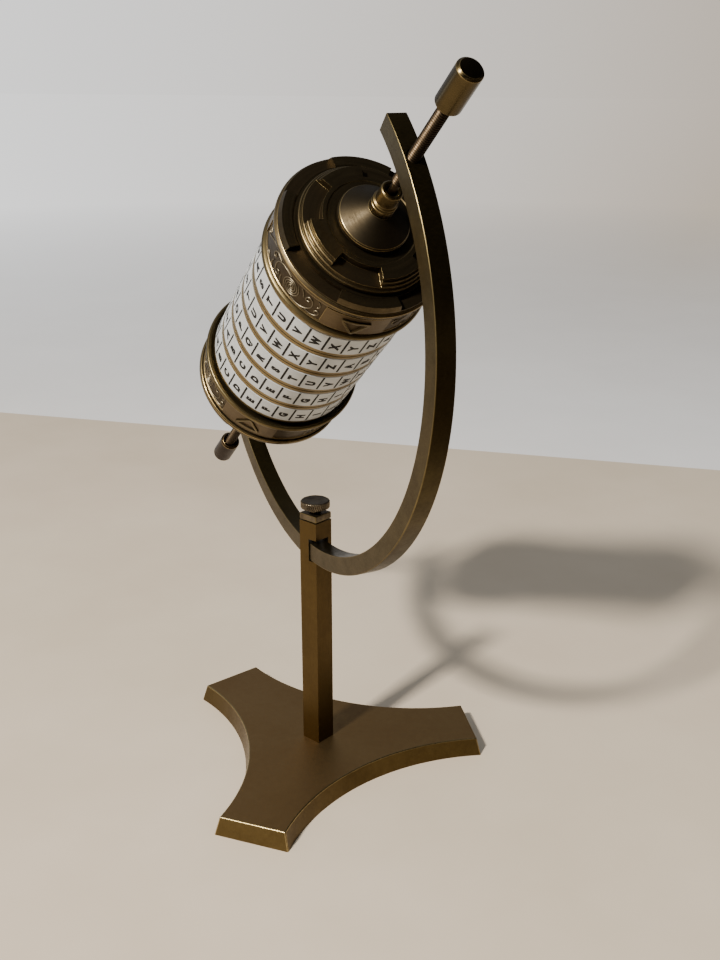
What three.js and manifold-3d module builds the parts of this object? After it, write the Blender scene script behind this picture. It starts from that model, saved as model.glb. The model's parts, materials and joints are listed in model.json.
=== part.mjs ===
// Desk cryptex on a stand: a five-ring letter lock in the shape of a cylinder, carried between two
// pivot screws in a C-shaped yoke. The yoke slides through a clamp at the top of a square post.
// Millimetres, +Z up. The origin is the middle of the base plate's underside, the yoke lies in the
// XZ plane, and the lock's own axis is tilted up towards +X.
import * as THREE from 'three';
import Module from 'manifold-3d';
import { mergeVertices } from 'three/addons/utils/BufferGeometryUtils.js';

const wasm = await Module();
wasm.setup();

// ---- driving dimensions -------------------------------------------------------------------------

const GAP = 0.3; // clearance between neighbouring pieces
const OVERSHOOT = 1; // how far a cutter runs past the body that it cuts
const WELD_DISTANCE = 1e-4;

// base plate: three arms with square tips, hollowed sides and sloping edges
const BASE_THICKNESS = 5;
const BASE_ARM_REACH = 44.5;
const BASE_ARM_WIDTH = 18.6;
const BASE_WAIST = 20.1; // centre of the plate to the middle of a hollowed side
const BASE_DRAFT = 1.1; // how much the underside is larger, all round
const BASE_FIRST_ARM = 313.3; // degrees
const BASE_ARMS = 3;
const BASE_ARC_STEPS = 12; // straight steps in each hollowed side

// post and clamp
const POST_SIDE = 6;
const POST_TURN = 21.7; // degrees, between the post's faces and the yoke
const POST_TOP = 71.9;
const CLAMP_CAP_THICKNESS = 1.8;
const STUD_RADIUS = 1.5;
const STUD_BOTTOM = 1.6;
const STUD_TOP = 17;
const CLAMP_SCREW_RADIUS = 1.2;
const CLAMP_NECK_RADIUS = 1.6;
const CLAMP_HEAD_RADIUS = 3.95;
const CLAMP_HEAD_BOTTOM = 75.3;
const CLAMP_HEAD_TOP = 77.4;
const CLAMP_PAD_THICKNESS = 0.6;
const CLAMP_SCREW_HOLE_DEPTH = 7;
const PASSAGE_START = 260; // degrees, round the yoke's centre, of its way through the post
const PASSAGE_END = 280;
const PASSAGE_STEPS = 12;

// yoke: a square bar bent to an arc, seen from the lock's centre
const YOKE_CENTRE_HEIGHT = 127.6;
const YOKE_INNER_RADIUS = 61.8;
const YOKE_OUTER_RADIUS = 66.6;
const YOKE_WIDTH = 4.8;
const YOKE_END_OVERHANG = 9.8; // degrees of bar beyond each pivot screw
const YOKE_STEPS = 60; // straight steps in the whole bend
const LOCK_TILT = 39; // degrees that the lock's axis rises towards +X

// pivot screws, as distances from the lock's centre along its axis
const PIVOT_SCREW_RADIUS = 1.5;
const PIVOT_TIP_RADIUS = 0.9;
const PIVOT_TIP_START = 50.6;
const PIVOT_POINT_LENGTH = 1;
const PIVOT_SCREW_START = 57.8;
const PIVOT_SCREW_END = 90;
const KNOB_RADIUS = 2.9;
const KNOB_START = 82.8;
const KNOB_END = 93.6;
const KNOB_CHAMFER = 0.5;

// letter rings
const RING_COUNT = 5;
const RING_PITCH = 9.75;
const RING_RADIUS = 19.45;
const RING_SEAT_RADIUS = 18.6; // floor of the groove that holds the letter strip
const RING_BORE = 15.8;
const STRIP_RADIUS = 19.55;
const STRIP_WIDTH = 7;
const CODE_RING_OUTER = 15.5;
const CODE_RING_CHAMBER = 14.5; // bore where the pin waits
const CODE_RING_BORE = 12.75; // bore of the web that stops the pin
const CODE_WEB_THICKNESS = 2;
const CODE_GATES = [142, 198, 310, 35, 250]; // degrees, the gap in each web

// tubes, rail and pins of the lock
const OUTER_TUBE_RADIUS = 12.4;
const OUTER_TUBE_BORE = 11.2;
const OUTER_TUBE_NECK = 11.85;
const OUTER_TUBE_START = -33.5;
const OUTER_TUBE_END = 25.4;
const SLOT_ANGLE = 90; // degrees, where the slot and the pins are
const SLOT_WIDTH = 2.8;
const SLOT_START = -24;
const INNER_TUBE_RADIUS = 10.8;
const INNER_TUBE_BORE = 9.9;
const INNER_TUBE_START = -22.5;
const INNER_TUBE_END = 33.4;
const RAIL_WIDTH = 2;
const RAIL_INNER = 11.1;
const RAIL_OUTER = 12.4;
const RAIL_START = -23.2;
const PIN_ROOT = 11.9; // the pins start inside the rail
const PIN_TOP = 14.1;
const PIN_LENGTH = 2;
const PIN_BELOW_WEB = 2.1; // free travel of the drawer before a pin meets its web

// caps, as distances from the lock's centre
const FLANGE_START = 24.9;
const FLANGE_END = 26.6;
const FLANGE_RECESS = 0.8; // depth of the counterbore that clears the code rings
const FLANGE_CHAMFER = 0.4;
const BAND_END = 35;
const LIP_END = 36.9;
const TIER_TOP = 38.7;
const TIER_FLOOR = 37.6;
const CROWN_TOP = 42.4;
const CROWN_FLOOR = 41;
const HUB_BASE = 42.9;
const HUB_RIM = 44.5;
const HUB_NOSE = 47.9;
const SOCKET_STEP = 50.9;
const SOCKET_MOUTH = 54.6;
const UPPER_FLANGE_RADIUS = 20.6;
const LOWER_FLANGE_RADIUS = 21.3;
const BAND_RADIUS = 20.1;
const BAND_THICKNESS = 3.6;
const LIP_RADIUS = 20.7;
const LIP_CHAMFER = 0.5;
const TIER_RADIUS = 19.6;
const TIER_FOOT_RADIUS = 20.1;
const TIER_BORE = 13.3;
const TIER_STEP_RADIUS = 17;
const CROWN_FOOT_RADIUS = 16.3;
const CROWN_RADIUS = 14.4;
const CROWN_STEP_RADIUS = 11.6;
const CROWN_STEPS = 4;
const HUB_RADIUS = 8.5;
const SOCKET_ROOT_RADIUS = 2.9;
const SOCKET_TIP_RADIUS = 2.5;
const SPIGOT_RADIUS = 1.7;
const SOCKET_BORE = 1.3;
const SOCKET_DEPTH = 48.3;
const BATTLEMENTS = 4; // raised sectors round each tier
const TIER_FIRST = 256; // degrees, middle of a raised sector of the outer tier
const CROWN_FIRST = 285; // degrees, middle of a raised sector of the crown
const RAISED_SECTOR = 44; // degrees
const SECTOR_STEPS = 8;

// facets round each full circle
const FINE = 36;
const MEDIUM = 20;
const SMALL = 12;

// ---- materials ----------------------------------------------------------------------------------

function finish(color, roughness, metalness) {
  return new THREE.MeshStandardMaterial({ color, roughness, metalness });
}

const satinBrass = finish(0x8a6c42, 0.42, 1);
const yokeBrass = finish(0x7d6a3f, 0.4, 1);
const darkBronze = finish(0x5a4a34, 0.4, 1);
const ringBrass = finish(0xa08a55, 0.35, 1);
const polishedBronze = finish(0x8a6236, 0.3, 1);
const whiteEnamel = finish(0xe2e1dc, 0.45, 0);
const steel = finish(0xb9b9b6, 0.3, 1);

// ---- shape helpers ------------------------------------------------------------------------------

// Welds a closed geometry and drops the empty triangles that a lathe leaves on its axis.
function weld(geometry) {
  const bare = geometry.clone();
  bare.deleteAttribute('normal');
  bare.deleteAttribute('uv');
  const merged = mergeVertices(bare, WELD_DISTANCE);
  const kept = [];
  const { array } = merged.index;
  for (let i = 0; i < array.length; i += 3) {
    const [a, b, c] = [array[i], array[i + 1], array[i + 2]];
    if (a !== b && b !== c && c !== a) kept.push(a, b, c);
  }
  merged.setIndex(kept);
  return merged;
}

function solidOf(geometry) {
  const merged = weld(geometry);
  return new wasm.Manifold(new wasm.Mesh({
    numProp: 3,
    vertProperties: new Float32Array(merged.attributes.position.array),
    triVerts: new Uint32Array(merged.index.array),
  }));
}

function geometryOf(solid) {
  const mesh = solid.getMesh();
  const geometry = new THREE.BufferGeometry();
  geometry.setAttribute('position', new THREE.BufferAttribute(mesh.vertProperties, 3));
  geometry.setIndex(new THREE.BufferAttribute(mesh.triVerts, 1));
  return geometry;
}

// Cuts every tool out of a body.
function cut(body, ...tools) {
  let solid = solidOf(body);
  for (const tool of tools) solid = solid.subtract(solidOf(tool));
  return geometryOf(solid);
}

// Joins geometries that overlap.
function join(...bodies) {
  let solid = solidOf(bodies[0]);
  for (const body of bodies.slice(1)) solid = solid.add(solidOf(body));
  return geometryOf(solid);
}

// A solid of revolution about Z from [radius, height] corners, listed anticlockwise. A profile that
// starts off the axis closes on itself.
function turned(corners, segments) {
  const profile = corners.map(([radius, height]) => new THREE.Vector2(radius, height));
  if (corners[0][0] > 0) profile.push(profile[0].clone());
  return new THREE.LatheGeometry(profile, segments).rotateX(Math.PI / 2);
}

function disc(radius, bottom, top, segments) {
  return turned([[0, bottom], [radius, bottom], [radius, top], [0, top]], segments);
}

function tube(outer, bore, bottom, top, segments) {
  return turned([[bore, bottom], [outer, bottom], [outer, top], [bore, top]], segments);
}

function block(sizeX, sizeY, sizeZ, x, y, z) {
  return new THREE.BoxGeometry(sizeX, sizeY, sizeZ).translate(x, y, z);
}

// A block that points outwards from the Z axis at an angle, from one radius to another.
function spoke(inner, outer, width, bottom, top, angle) {
  const middle = (inner + outer) / 2;
  const bar = block(outer - inner, width, top - bottom, middle, 0, (bottom + top) / 2);
  return bar.rotateZ(THREE.MathUtils.degToRad(angle));
}

// A sector of a ring about Z, for cutting the low parts of a battlement.
function sector(inner, outer, bottom, top, from, to) {
  const [start, end] = [from, to].map(THREE.MathUtils.degToRad);
  const outline = new THREE.Shape();
  outline.absarc(0, 0, outer, start, end, false);
  outline.absarc(0, 0, inner, end, start, true);
  const options = { depth: top - bottom, bevelEnabled: false, curveSegments: SECTOR_STEPS };
  return new THREE.ExtrudeGeometry(outline, options).translate(0, 0, bottom);
}

function lowSectors(inner, outer, bottom, top, firstRaised) {
  const period = 360 / BATTLEMENTS;
  const cutters = [];
  for (let i = 0; i < BATTLEMENTS; i += 1) {
    const start = firstRaised + RAISED_SECTOR / 2 + i * period;
    cutters.push(sector(inner, outer, bottom, top, start, start + period - RAISED_SECTOR));
  }
  return cutters;
}

function named(name, geometry, material) {
  const mesh = new THREE.Mesh(geometry, material);
  mesh.name = name;
  return mesh;
}

// ---- stand --------------------------------------------------------------------------------------

// The plate's outline, grown by an offset. A hollowed side is an arc between two arms' corners.
function baseOutline(offset) {
  const reach = BASE_ARM_REACH + offset;
  const halfWidth = BASE_ARM_WIDTH / 2 + offset;
  const waist = BASE_WAIST + offset;
  const armSpacing = 360 / BASE_ARMS;
  const halfSpacing = THREE.MathUtils.degToRad(armSpacing / 2);
  const cornerAngle = halfSpacing - Math.atan2(halfWidth, reach);
  const cornerRadius = Math.hypot(reach, halfWidth);
  const across = cornerRadius * Math.sin(cornerAngle);
  const out = cornerRadius * Math.cos(cornerAngle);
  const centre = (out * out + across * across - waist * waist) / (2 * (out - waist));
  const radius = centre - waist;
  const sweep = Math.asin(across / radius);
  const outline = new THREE.Shape();
  for (let arm = 0; arm < BASE_ARMS; arm += 1) {
    const middle = THREE.MathUtils.degToRad(BASE_FIRST_ARM + arm * armSpacing) + halfSpacing;
    const x = centre * Math.cos(middle);
    const y = centre * Math.sin(middle);
    outline.absarc(x, y, radius, middle + Math.PI + sweep, middle + Math.PI - sweep, true);
  }
  outline.closePath();
  return outline;
}

function basePlate() {
  const plate = new THREE.ExtrudeGeometry(baseOutline(0), {
    depth: BASE_THICKNESS,
    bevelEnabled: false,
    curveSegments: BASE_ARC_STEPS,
  });
  const top = baseOutline(0).getPoints(BASE_ARC_STEPS);
  const bottom = baseOutline(BASE_DRAFT).getPoints(BASE_ARC_STEPS);
  const corners = plate.attributes.position;
  for (let i = 0; i < corners.count; i += 1) {
    if (corners.getZ(i) > 0) continue;
    const here = new THREE.Vector2(corners.getX(i), corners.getY(i));
    const match = top.findIndex((point) => point.distanceTo(here) < WELD_DISTANCE);
    corners.setXYZ(i, bottom[match].x, bottom[match].y, 0);
  }
  const hole = disc(STUD_RADIUS + GAP, STUD_BOTTOM - GAP, BASE_THICKNESS + OVERSHOOT, SMALL);
  return cut(plate, hole);
}

function yokeSector(inner, outer, width, from, to, steps) {
  const [start, end] = [from, to].map(THREE.MathUtils.degToRad);
  const outline = new THREE.Shape();
  outline.absarc(0, 0, outer, start, end, false);
  outline.absarc(0, 0, inner, end, start, true);
  const options = { depth: width, bevelEnabled: false, curveSegments: steps };
  const bar = new THREE.ExtrudeGeometry(outline, options).translate(0, 0, -width / 2);
  return bar.rotateX(Math.PI / 2).translate(0, 0, YOKE_CENTRE_HEIGHT);
}

function post() {
  const height = POST_TOP - BASE_THICKNESS;
  const bar = block(POST_SIDE, POST_SIDE, height, 0, 0, BASE_THICKNESS + height / 2);
  bar.rotateZ(THREE.MathUtils.degToRad(POST_TURN));
  const padRoom = CLAMP_PAD_THICKNESS + 2 * GAP;
  const passage = yokeSector(YOKE_INNER_RADIUS - padRoom, YOKE_OUTER_RADIUS + GAP,
    YOKE_WIDTH + 2 * GAP, PASSAGE_START, PASSAGE_END, PASSAGE_STEPS);
  const screwHoleBottom = POST_TOP - CLAMP_SCREW_HOLE_DEPTH;
  const screwHole = disc(CLAMP_SCREW_RADIUS + GAP, screwHoleBottom, POST_TOP + OVERSHOOT, SMALL);
  const studHole = disc(STUD_RADIUS + GAP, BASE_THICKNESS - OVERSHOOT, STUD_TOP + GAP, SMALL);
  return cut(bar, passage, screwHole, studHole);
}

const CLAMP_CAP_BOTTOM = POST_TOP + GAP;
const CLAMP_CAP_TOP = CLAMP_CAP_BOTTOM + CLAMP_CAP_THICKNESS;

function clampCap() {
  const middle = CLAMP_CAP_BOTTOM + CLAMP_CAP_THICKNESS / 2;
  const plate = block(POST_SIDE, POST_SIDE, CLAMP_CAP_THICKNESS, 0, 0, middle);
  plate.rotateZ(THREE.MathUtils.degToRad(POST_TURN));
  return cut(plate, disc(CLAMP_SCREW_RADIUS + GAP, POST_TOP, CLAMP_CAP_TOP + OVERSHOOT, SMALL));
}

const CLAMP_PAD_BOTTOM = YOKE_CENTRE_HEIGHT - YOKE_INNER_RADIUS + GAP;
const CLAMP_PAD_TOP = CLAMP_PAD_BOTTOM + CLAMP_PAD_THICKNESS;

function clampScrew() {
  return turned([
    [0, CLAMP_PAD_TOP + GAP],
    [CLAMP_SCREW_RADIUS, CLAMP_PAD_TOP + GAP],
    [CLAMP_SCREW_RADIUS, CLAMP_CAP_TOP + GAP],
    [CLAMP_NECK_RADIUS, CLAMP_CAP_TOP + GAP],
    [CLAMP_NECK_RADIUS, CLAMP_HEAD_BOTTOM],
    [CLAMP_HEAD_RADIUS, CLAMP_HEAD_BOTTOM],
    [CLAMP_HEAD_RADIUS, CLAMP_HEAD_TOP],
    [0, CLAMP_HEAD_TOP],
  ], MEDIUM);
}

function clampPad() {
  return disc(CLAMP_SCREW_RADIUS, CLAMP_PAD_BOTTOM, CLAMP_PAD_TOP, SMALL);
}

function yokeArc() {
  const lowEnd = 180 + LOCK_TILT - YOKE_END_OVERHANG;
  const highEnd = 360 + LOCK_TILT + YOKE_END_OVERHANG;
  const [inner, outer] = [YOKE_INNER_RADIUS, YOKE_OUTER_RADIUS];
  const bar = yokeSector(inner, outer, YOKE_WIDTH, lowEnd, highEnd, YOKE_STEPS);
  const reach = outer + OVERSHOOT;
  const hole = disc(PIVOT_SCREW_RADIUS + GAP, -reach, reach, SMALL);
  hole.rotateY(THREE.MathUtils.degToRad(90 - LOCK_TILT)).translate(0, 0, YOKE_CENTRE_HEIGHT);
  return cut(bar, hole);
}

// ---- pivots, drawn on the upper side of the lock's own axis ---------------------------------------

function pivotTip() {
  return turned([
    [0, PIVOT_TIP_START],
    [PIVOT_TIP_RADIUS, PIVOT_TIP_START + PIVOT_POINT_LENGTH],
    [PIVOT_TIP_RADIUS, PIVOT_SCREW_START - GAP],
    [0, PIVOT_SCREW_START - GAP],
  ], SMALL);
}

function pivotScrew() {
  return disc(PIVOT_SCREW_RADIUS, PIVOT_SCREW_START, PIVOT_SCREW_END, SMALL);
}

function pivotKnob() {
  return turned([
    [PIVOT_SCREW_RADIUS + GAP, KNOB_START],
    [KNOB_RADIUS - KNOB_CHAMFER, KNOB_START],
    [KNOB_RADIUS, KNOB_START + KNOB_CHAMFER],
    [KNOB_RADIUS, KNOB_END - KNOB_CHAMFER],
    [KNOB_RADIUS - KNOB_CHAMFER, KNOB_END],
    [0, KNOB_END],
    [0, PIVOT_SCREW_END + GAP],
    [PIVOT_SCREW_RADIUS + GAP, PIVOT_SCREW_END + GAP],
  ], MEDIUM);
}

// ---- caps, drawn on the upper side of the lock's own axis ----------------------------------------

function capFlange(radius, bore, counterbore) {
  return turned([
    [bore, FLANGE_START + FLANGE_RECESS],
    [counterbore, FLANGE_START + FLANGE_RECESS],
    [counterbore, FLANGE_START],
    [radius, FLANGE_START],
    [radius, FLANGE_END - FLANGE_CHAMFER],
    [radius - FLANGE_CHAMFER, FLANGE_END],
    [bore, FLANGE_END],
  ], FINE);
}

const BAND_BORE = BAND_RADIUS - BAND_THICKNESS;

function capBand() {
  return tube(BAND_RADIUS, BAND_BORE, FLANGE_END + GAP, BAND_END - GAP, FINE);
}

function capLip() {
  return turned([
    [BAND_BORE, BAND_END],
    [LIP_RADIUS, BAND_END],
    [LIP_RADIUS, LIP_END - LIP_CHAMFER],
    [LIP_RADIUS - LIP_CHAMFER, LIP_END],
    [BAND_BORE, LIP_END],
  ], FINE);
}

function capCore(bore, boreDepth) {
  return turned([
    [bore, FLANGE_END + GAP],
    [BAND_BORE - GAP, FLANGE_END + GAP],
    [BAND_BORE - GAP, LIP_END],
    [0, LIP_END],
    [0, boreDepth],
    [bore, boreDepth],
  ], MEDIUM);
}

function outerTier() {
  const ring = turned([
    [TIER_BORE, LIP_END + GAP],
    [TIER_FOOT_RADIUS, LIP_END + GAP],
    [TIER_RADIUS, TIER_TOP],
    [TIER_BORE, TIER_TOP],
  ], FINE);
  const [inner, outer] = [TIER_STEP_RADIUS, TIER_FOOT_RADIUS + OVERSHOOT];
  const notches = lowSectors(inner, outer, TIER_FLOOR, TIER_TOP + OVERSHOOT, TIER_FIRST);
  return cut(ring, ...notches);
}

function crown() {
  const foot = TIER_TOP + GAP;
  const flankSteps = CROWN_STEPS - 1;
  const step = (CROWN_TOP - foot) / CROWN_STEPS;
  const slope = (CROWN_FOOT_RADIUS - CROWN_RADIUS) / flankSteps;
  const flank = [];
  for (let i = 0; i < flankSteps; i += 1) {
    flank.push([CROWN_FOOT_RADIUS - i * slope, foot + i * step]);
    flank.push([CROWN_FOOT_RADIUS - i * slope, foot + (i + 1) * step]);
  }
  const drum = turned([
    [0, foot],
    ...flank,
    [CROWN_RADIUS, foot + flankSteps * step],
    [CROWN_RADIUS, CROWN_TOP],
    [0, CROWN_TOP],
  ], FINE);
  const [inner, outer] = [CROWN_STEP_RADIUS, CROWN_FOOT_RADIUS + OVERSHOOT];
  const notches = lowSectors(inner, outer, CROWN_FLOOR, CROWN_TOP + OVERSHOOT, CROWN_FIRST);
  return cut(drum, ...notches);
}

function hubCone() {
  return turned([
    [SPIGOT_RADIUS + GAP, HUB_BASE],
    [HUB_RADIUS, HUB_BASE],
    [HUB_RADIUS, HUB_RIM],
    [SOCKET_ROOT_RADIUS, HUB_NOSE],
    [SPIGOT_RADIUS + GAP, HUB_NOSE],
  ], MEDIUM);
}

// The socket's spigot goes down through the hub and its mouth takes the pivot's tip.
function socketSleeve() {
  return turned([
    [0, HUB_BASE],
    [SPIGOT_RADIUS, HUB_BASE],
    [SPIGOT_RADIUS, HUB_NOSE + GAP],
    [SOCKET_ROOT_RADIUS, HUB_NOSE + GAP],
    [SOCKET_ROOT_RADIUS, SOCKET_STEP],
    [SOCKET_TIP_RADIUS, SOCKET_STEP],
    [SOCKET_TIP_RADIUS, SOCKET_MOUTH],
    [SOCKET_BORE, SOCKET_MOUTH],
    [SOCKET_BORE, SOCKET_DEPTH],
    [0, SOCKET_DEPTH],
  ], MEDIUM);
}

// ---- lock ---------------------------------------------------------------------------------------

function ringMiddle(index) {
  return ((RING_COUNT - 1) / 2 - index) * RING_PITCH;
}

const RING_HALF = RING_PITCH / 2 - GAP / 2;

function letterRing(middle) {
  const groove = STRIP_WIDTH / 2 + GAP / 2;
  return turned([
    [RING_BORE, middle - RING_HALF],
    [RING_RADIUS, middle - RING_HALF],
    [RING_RADIUS, middle - groove],
    [RING_SEAT_RADIUS, middle - groove],
    [RING_SEAT_RADIUS, middle + groove],
    [RING_RADIUS, middle + groove],
    [RING_RADIUS, middle + RING_HALF],
    [RING_BORE, middle + RING_HALF],
  ], FINE);
}

function letterStrip(middle) {
  const half = STRIP_WIDTH / 2;
  return tube(STRIP_RADIUS, RING_SEAT_RADIUS + GAP, middle - half, middle + half, FINE);
}

function codeRing(middle, gate) {
  const web = middle + RING_HALF - CODE_WEB_THICKNESS;
  const ring = turned([
    [CODE_RING_CHAMBER, middle - RING_HALF],
    [CODE_RING_OUTER, middle - RING_HALF],
    [CODE_RING_OUTER, middle + RING_HALF],
    [CODE_RING_BORE, middle + RING_HALF],
    [CODE_RING_BORE, web],
    [CODE_RING_CHAMBER, web],
  ], MEDIUM);
  const [inner, outer, width] = [CODE_RING_BORE - OVERSHOOT, CODE_RING_CHAMBER, RAIL_WIDTH + 2 * GAP];
  const [bottom, top] = [web - OVERSHOOT, middle + RING_HALF + OVERSHOOT];
  return cut(ring, spoke(inner, outer, width, bottom, top, gate));
}

function outerTube() {
  const top = ringMiddle(0) + RING_HALF;
  const body = turned([
    [OUTER_TUBE_BORE, OUTER_TUBE_START],
    [OUTER_TUBE_RADIUS, OUTER_TUBE_START],
    [OUTER_TUBE_RADIUS, top],
    [OUTER_TUBE_NECK, top],
    [OUTER_TUBE_NECK, OUTER_TUBE_END],
    [OUTER_TUBE_BORE, OUTER_TUBE_END],
  ], MEDIUM);
  const [inner, outer] = [OUTER_TUBE_BORE - OVERSHOOT, OUTER_TUBE_RADIUS + OVERSHOOT];
  const slotEnd = OUTER_TUBE_END + OVERSHOOT;
  return cut(body, spoke(inner, outer, SLOT_WIDTH, SLOT_START, slotEnd, SLOT_ANGLE));
}

function retainingRing() {
  const bottom = ringMiddle(0) + RING_HALF + GAP;
  const ring = tube(CODE_RING_OUTER - GAP, OUTER_TUBE_NECK + GAP, bottom, OUTER_TUBE_END, MEDIUM);
  const [inner, outer] = [OUTER_TUBE_BORE, PIN_TOP + GAP];
  const [slotStart, slotEnd] = [bottom - OVERSHOOT, OUTER_TUBE_END + OVERSHOOT];
  return cut(ring, spoke(inner, outer, SLOT_WIDTH, slotStart, slotEnd, SLOT_ANGLE));
}

function innerTube() {
  return tube(INNER_TUBE_RADIUS, INNER_TUBE_BORE, INNER_TUBE_START, INNER_TUBE_END, MEDIUM);
}

function keyRail() {
  const bar = spoke(RAIL_INNER, RAIL_OUTER, RAIL_WIDTH, RAIL_START, FLANGE_START, SLOT_ANGLE);
  const pins = [];
  for (let i = 0; i < RING_COUNT; i += 1) {
    const top = ringMiddle(i) + RING_HALF - CODE_WEB_THICKNESS - PIN_BELOW_WEB;
    pins.push(spoke(PIN_ROOT, PIN_TOP, RAIL_WIDTH, top - PIN_LENGTH, top, SLOT_ANGLE));
  }
  return join(bar, ...pins);
}

// ---- assembly -----------------------------------------------------------------------------------

const cryptex = new THREE.Group();

const stand = new THREE.Group();
stand.add(
  named('base_plate', basePlate(), satinBrass),
  named('post', post(), satinBrass),
  named('post_stud', disc(STUD_RADIUS, STUD_BOTTOM, STUD_TOP, SMALL), steel),
  named('clamp_cap', clampCap(), darkBronze),
  named('clamp_screw', clampScrew(), darkBronze),
  named('clamp_pad', clampPad(), steel),
  named('yoke_arc', yokeArc(), yokeBrass),
);
cryptex.add(stand);

// The lock's own axis is this group's Z, and each end is drawn once and turned over for the other.
const lock = new THREE.Group();
lock.position.z = YOKE_CENTRE_HEIGHT;
lock.rotation.y = THREE.MathUtils.degToRad(90 - LOCK_TILT);
cryptex.add(lock);

function pivot(end) {
  const group = new THREE.Group();
  group.add(
    named(`${end}_pivot_tip`, pivotTip(), steel),
    named(`${end}_pivot_screw`, pivotScrew(), polishedBronze),
    named(`${end}_pivot_knob`, pivotKnob(), polishedBronze),
  );
  return group;
}

function cap(end, flange, core) {
  const group = new THREE.Group();
  group.add(
    named(`${end}_flange`, flange, ringBrass),
    named(`${end}_band`, capBand(), darkBronze),
    named(`${end}_lip`, capLip(), satinBrass),
    named(`${end}_cap_core`, core, darkBronze),
    named(`${end}_outer_tier`, outerTier(), darkBronze),
    named(`${end}_crown`, crown(), darkBronze),
    named(`${end}_hub_cone`, hubCone(), darkBronze),
    named(`${end}_socket_sleeve`, socketSleeve(), ringBrass),
  );
  return group;
}

const upperFlange = capFlange(UPPER_FLANGE_RADIUS, INNER_TUBE_RADIUS + GAP, CODE_RING_OUTER + GAP);
const lowerFlange = capFlange(LOWER_FLANGE_RADIUS, OUTER_TUBE_RADIUS + GAP, CODE_RING_OUTER + GAP);
const upperCore = capCore(INNER_TUBE_RADIUS + GAP, INNER_TUBE_END + GAP);
const lowerCore = capCore(OUTER_TUBE_RADIUS + GAP, -OUTER_TUBE_START + GAP);

lock.add(pivot('upper'), cap('upper', upperFlange, upperCore));

const lowerEnd = new THREE.Group();
lowerEnd.rotation.x = Math.PI;
lowerEnd.add(pivot('lower'), cap('lower', lowerFlange, lowerCore));
lock.add(lowerEnd);

lock.add(
  named('outer_tube', outerTube(), ringBrass),
  named('retaining_ring', retainingRing(), steel),
  named('inner_tube', innerTube(), ringBrass),
  named('key_rail', keyRail(), steel),
);

for (let i = 0; i < RING_COUNT; i += 1) {
  const middle = ringMiddle(i);
  lock.add(
    named(`letter_ring_${i + 1}`, letterRing(middle), ringBrass),
    named(`letter_strip_${i + 1}`, letterStrip(middle), whiteEnamel),
    named(`code_ring_${i + 1}`, codeRing(middle, CODE_GATES[i]), steel),
  );
}

export default cryptex;
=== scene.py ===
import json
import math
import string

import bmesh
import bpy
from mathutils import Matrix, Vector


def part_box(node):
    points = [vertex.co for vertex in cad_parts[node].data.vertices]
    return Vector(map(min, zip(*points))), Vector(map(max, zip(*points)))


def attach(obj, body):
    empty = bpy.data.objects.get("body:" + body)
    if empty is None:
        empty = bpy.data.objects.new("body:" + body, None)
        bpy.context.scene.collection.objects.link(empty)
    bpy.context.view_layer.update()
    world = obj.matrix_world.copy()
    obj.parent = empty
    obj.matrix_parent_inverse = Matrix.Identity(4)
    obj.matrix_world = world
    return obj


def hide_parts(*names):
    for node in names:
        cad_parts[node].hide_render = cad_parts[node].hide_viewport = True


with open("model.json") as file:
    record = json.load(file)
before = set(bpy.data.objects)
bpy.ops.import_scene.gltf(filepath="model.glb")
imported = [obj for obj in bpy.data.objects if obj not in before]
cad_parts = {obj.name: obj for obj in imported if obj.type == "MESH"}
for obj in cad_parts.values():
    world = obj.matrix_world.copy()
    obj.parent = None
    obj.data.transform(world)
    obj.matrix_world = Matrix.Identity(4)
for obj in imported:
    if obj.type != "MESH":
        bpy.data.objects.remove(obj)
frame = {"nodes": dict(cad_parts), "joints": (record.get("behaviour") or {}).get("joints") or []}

# %% [markdown]
# # A desk cryptex on its stand
#
# The object is a brass puzzle lock: five lettered rings on a tube, closed by two stepped caps and
# carried between two thumbscrews in a C-shaped yoke. The yoke sits in a clamp on a square post.
#
# The frame already holds every part at its true size and place, in metres. This lesson dresses it:
# each visible part gets a finer shape and a metal or enamel finish, and rides on the body of the
# part that it stands for. The inner parts keep their frame shapes and only get a finish.

bpy.context.view_layer.update()
joints = {joint["name"]: joint for joint in frame["joints"]}

# %% [markdown]
# ## Places
#
# Everything on the lock turns about one tilted axis. It is far easier to model a cap upright on the
# Z axis, in millimetres, and to carry the finished mesh to its place with a matrix than to model it
# tilted. The axis and centre come from the lock's own spin joint. The lower end is the upper end
# turned over, so it has a matrix of its own.

# %% Matrices from modelling space to the frame
MM = Matrix.Scale(0.001, 4)
spin_joint = joints["lock_spin"]
lock_centre = Vector(spin_joint["pos_m"])
lock_axis = Vector(spin_joint["axis"]).normalized()
lock_turn = Matrix.Rotation(math.atan2(lock_axis.x, lock_axis.z), 4, "Y")

STAND = MM
UPPER = Matrix.Translation(lock_centre) @ lock_turn @ MM
LOWER = UPPER @ Matrix.Rotation(math.pi, 4, "X")
PLACES = {"upper": UPPER, "lower": LOWER}
print("lock axis", lock_axis, "centre", lock_centre)


def box_mm(node):
    """A node's lowest and highest corner, in millimetres."""
    return [corner * 1000 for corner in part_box(node)]


def along_axis(node, place):
    """How far a node reaches along the lock's axis, and its greatest radius, in millimetres."""
    back = place.inverted()
    points = [back @ vertex.co for vertex in frame["nodes"][node].data.vertices]
    heights = [point.z for point in points]
    return min(heights), max(heights), max(point.xy.length for point in points)
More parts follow.
